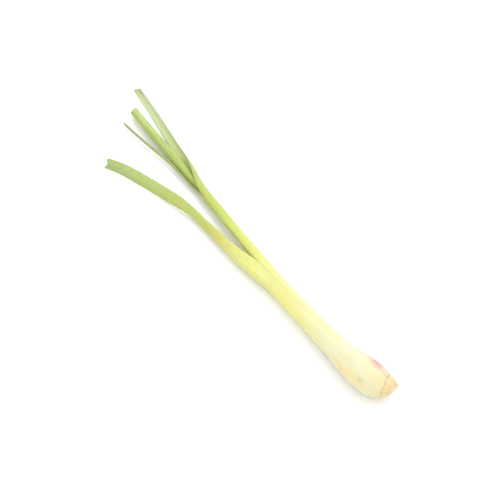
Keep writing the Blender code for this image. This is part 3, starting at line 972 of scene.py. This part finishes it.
OUTER_RELIEF = {
    "ribs": OUTER_RIBS, "rib_height": 0.035, "skin_wave": 0.1, "skin_pace": 0.035, "skin_seed": 20.0,
    "keel": ((150.0, 0.0), (185.0, 0.35), (215.0, 0.55), (270.0, 0.4)), "blade_wave": 0.3, "blade_seed": 23.0,
}
OUTER_COLOURS = (
    (-12, (244, 228, 182)), (-5, (251, 238, 193)), (0, (255, 246, 206)), (8, (254, 248, 214)),
    (28, (253, 249, 214)), (52, (253, 249, 196)), (80, (251, 249, 166)), (112, (248, 247, 152)),
    (138, (240, 243, 142)), (154, (228, 228, 122)), (166, (210, 217, 102)), (190, (202, 219, 106)),
    (225, (192, 215, 116)), (250, (184, 209, 124)), (267, (178, 200, 126)),
)
# Painted light: from the fork to the tip, the inside is coloured paler than the leaf is, to lift the shade on
# its inner face.
OUTER_INSIDE = (
    (-12, (252, 246, 222)), (115, (255, 252, 178)), (145, (252, 254, 174)), (170, (236, 246, 156)),
    (200, (224, 240, 156)), (240, (220, 236, 162)), (267, (206, 220, 156)),
)
OUTER_EDGE = (
    (-12, (248, 226, 180)), (-4, (232, 196, 160)), (6, (216, 166, 142)), (16, (226, 184, 154)),
    (34, (246, 226, 190)), (60, (252, 243, 206)), (130, (236, 228, 150)), (200, (206, 218, 140)),
    (267, (196, 204, 150)),
)
# Painted shade along the blade's margins, outside and inside: where it starts and is full, strength, colour.
OUTER_MARGIN_SHADE = (0.56, 0.64, 0.4, seen(156, 180, 104))
OUTER_INSIDE_MARGIN_SHADE = (0.56, 0.64, 0.4, seen(178, 200, 130))
OUTER_DRY_MARGIN = (0.07, 0.13, 0.7, seen(222, 168, 148))  # where it is full and gone, strength, colour
OUTER_LIGULE_ROOM = 0.75
OUTER_PATCHES = (
    # Painted shade and glow: a warm tan over the bulb's +Y flank, standing in for its shading and for light
    # that comes through the skin.
    ((3.0, 12.0, 15.0), (20.0, 6.5, 8.0), 0.6, 0.6, seen(256, 238, 162)),
    ((12.0, 12.5, 13.5), (9.0, 4.0, 5.0), 0.6, 0.4, seen(256, 228, 152)),
    # Painted light: a saturated yellow along the lower stem's +Y flank, standing in for light that comes
    # through the skin and bounces off the table.
    ((64.0, 9.5, 10.5), (42.0, 4.5, 6.0), 0.4, 0.7, seen(256, 252, 138)),
    ((-5.8, 9.9, 17.4), (4.6, 3.0, 3.4), 0.9, 0.4, seen(240, 204, 142)),
    ((-4.4, -3.2, 22.4), (8.5, 4.4, 4.0), 0.7, 0.75, seen(248, 196, 182)),
    ((-17.0, 4.0, 17.0), (3.5, 10.0, 9.0), 0.5, 0.5, seen(257, 245, 184)),
    ((134.6, 10.4, 10.2), (4.0, 1.7, 2.0), 1.1, 0.4, seen(246, 206, 124)),
    ((143.7, 10.4, 9.5), (5.0, 1.6, 1.8), 1.2, 0.5, seen(236, 184, 110)),
    ((151.0, 11.0, 9.0), (7.0, 2.2, 3.0), 0.9, 0.3, seen(230, 196, 110)),
    ((188.3, 13.5, 7.3), (7.0, 2.5, 3.0), 0.8, 0.35, seen(228, 206, 118)),
)


@functools.lru_cache(maxsize=None)
def outer_curl(x):
    wrapped = (*stem_line(x), stem_radius(x) + GAP + OUTER_THICK)
    free = along(OUTER_CURL, x)
    let_go = share(x, *OUTER_LETS_GO)
    return tuple(a + (b - a) * let_go for a, b in zip(wrapped, free))


def outer_shape(lengthwise, across):
    rim = OUTER_RIM + torn(across, *OUTER_RIM_TORN)
    tip = OUTER_TIP + OUTER_TIP_WAVE * math.sin(8 * across) + torn(across, *OUTER_TIP_TORN)
    x = rim + (tip - rim) * lengthwise**ROW_SPREAD
    at = round(x, 3)
    radius = outer_curl(at)[2]
    wrapped = 1 - share(x, *OUTER_UNWRAPS)
    in_blade = share(x, *OUTER_OPENS)
    angle, width = across_leaf(OUTER_EDGES, x, across, radius, 3)
    to_edge = min(across, 1 - across) * width
    relief = leaf_relief(OUTER_RELIEF, x, angle, across, to_edge, in_blade)
    thick = OUTER_THICK + (OUTER_BLADE_THICK - OUTER_THICK) * share(x, *OUTER_THINS)
    thick *= risen(MARGIN_THIN, share(to_edge, 0.0, OUTER_THIN_BAND + WRAP_THIN_BAND * wrapped))
    thick *= risen(OUTER_RIM_THIN, share(x, *OUTER_RIM_THINS))
    thick = max(thick, OUTER_THINNEST)
    at_margin = (1 - share(to_edge, 0.0, OUTER_TUCK_BAND)) * wrapped
    at_rim = 1 - share(x, *RIM_TUCKS)
    tuck = OUTER_TUCK * at_margin + RIM_TUCK * at_rim * (1 - at_margin)
    ridge = collar_ridge(x, OUTER_COLLAR, OUTER_RIDGE)
    point = at_angle(outer_curl, at, angle, radius + relief - tuck + ridge)
    held = (1 - share(across * width, 0.0, MARGIN_BAND)) * share(x, *OUTER_LETS_GO) * (1 - share(x, *FORK))
    if held:
        centre = Vector((x, *stem_line(at)))
        outwards = point - centre
        nearest = (stem_radius(at) + thick + FORK_GAP) / outwards.length
        point = centre + outwards * (1 + held * (min(nearest, 1) - 1))
    return x, lifted(point, x, OUTER_FLOOR), thick


outer = sheet(
    "outer_leaf_whole", "cream_sheath", OUTER_GRID, outer_shape, OUTER_THICK,
    leaf_material(
        "outer_leaf_skin", OUTER_COLOURS, OUTER_RIBS, roughness=0.42, painted_margin_shade=OUTER_MARGIN_SHADE,
        patches=OUTER_PATCHES, specks=LEAF_SPECKS, dry_margin=OUTER_DRY_MARGIN,
    ),
    edge_material("outer_leaf_edge", OUTER_EDGE),
    leaf_material(
        "outer_leaf_inside", OUTER_INSIDE, OUTER_RIBS, roughness=0.5, painted_margin_shade=OUTER_INSIDE_MARGIN_SHADE,
    ),
)
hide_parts("outer_leaf")

make_ligule("outer_ligule", "cream_sheath", outer_curl, OUTER_EDGES, OUTER_COLLAR, OUTER_LIGULE_ROOM)


# Surface, light and camera. A plain white table in a pale room, under a wide soft light that hangs high up
# behind the stalk, on the right. Places here are in metres.
TABLE_SIZE = 3.0
TABLE_WHITE = 0.9
ROOM_LIGHT = 1.34
WINDOW_AT = (0.12, -0.55, 1.4)
WINDOW_AIM = (0.14, 0.0, 0.0)
WINDOW_SIZE = 0.8
WINDOW_WATTS = 6.5
CAMERA_AT = (-0.2788, 0.2995, 0.6512)
CAMERA_AIM = (0.1289, -0.0049, 0.0)
LENS = 85.0
SENSOR = 36.0
NEAREST_SEEN = 0.01

bm = bmesh.new()
bmesh.ops.create_grid(bm, x_segments=1, y_segments=1, size=TABLE_SIZE)
table_mesh = bpy.data.meshes.new("table")
bm.to_mesh(table_mesh)
bm.free()
table_finish, _, table_shader = start_material("white_table", roughness=0.6, specular=0.2)
table_shader.inputs["Base Color"].default_value = (TABLE_WHITE, TABLE_WHITE, TABLE_WHITE, 1.0)
table_mesh.materials.append(table_finish)
table = bpy.data.objects.new("table", table_mesh)
bpy.context.scene.collection.objects.link(table)

world = bpy.data.worlds.new("pale_room")
world.use_nodes = True
room = world.node_tree.nodes["Background"]
room.inputs["Color"].default_value = (1.0, 1.0, 1.0, 1.0)
room.inputs["Strength"].default_value = ROOM_LIGHT
bpy.context.scene.world = world


def stand(name, data, place, aim):
    """Puts a lamp or a camera at a place and turns it to another."""
    made = bpy.data.objects.new(name, data)
    made.location = place
    made.rotation_mode = "QUATERNION"
    made.rotation_quaternion = (Vector(aim) - Vector(place)).to_track_quat("-Z", "Y")
    bpy.context.scene.collection.objects.link(made)
    return made


window = bpy.data.lights.new("window", "AREA")
window.shape = "DISK"
window.size = WINDOW_SIZE
window.energy = WINDOW_WATTS
stand("window", window, WINDOW_AT, WINDOW_AIM)

lens = bpy.data.cameras.new("camera")
lens.lens = LENS
lens.sensor_width = SENSOR
lens.clip_start = NEAREST_SEEN
bpy.context.scene.camera = stand("camera", lens, CAMERA_AT, CAMERA_AIM)
bpy.context.scene.view_settings.view_transform = "Standard"
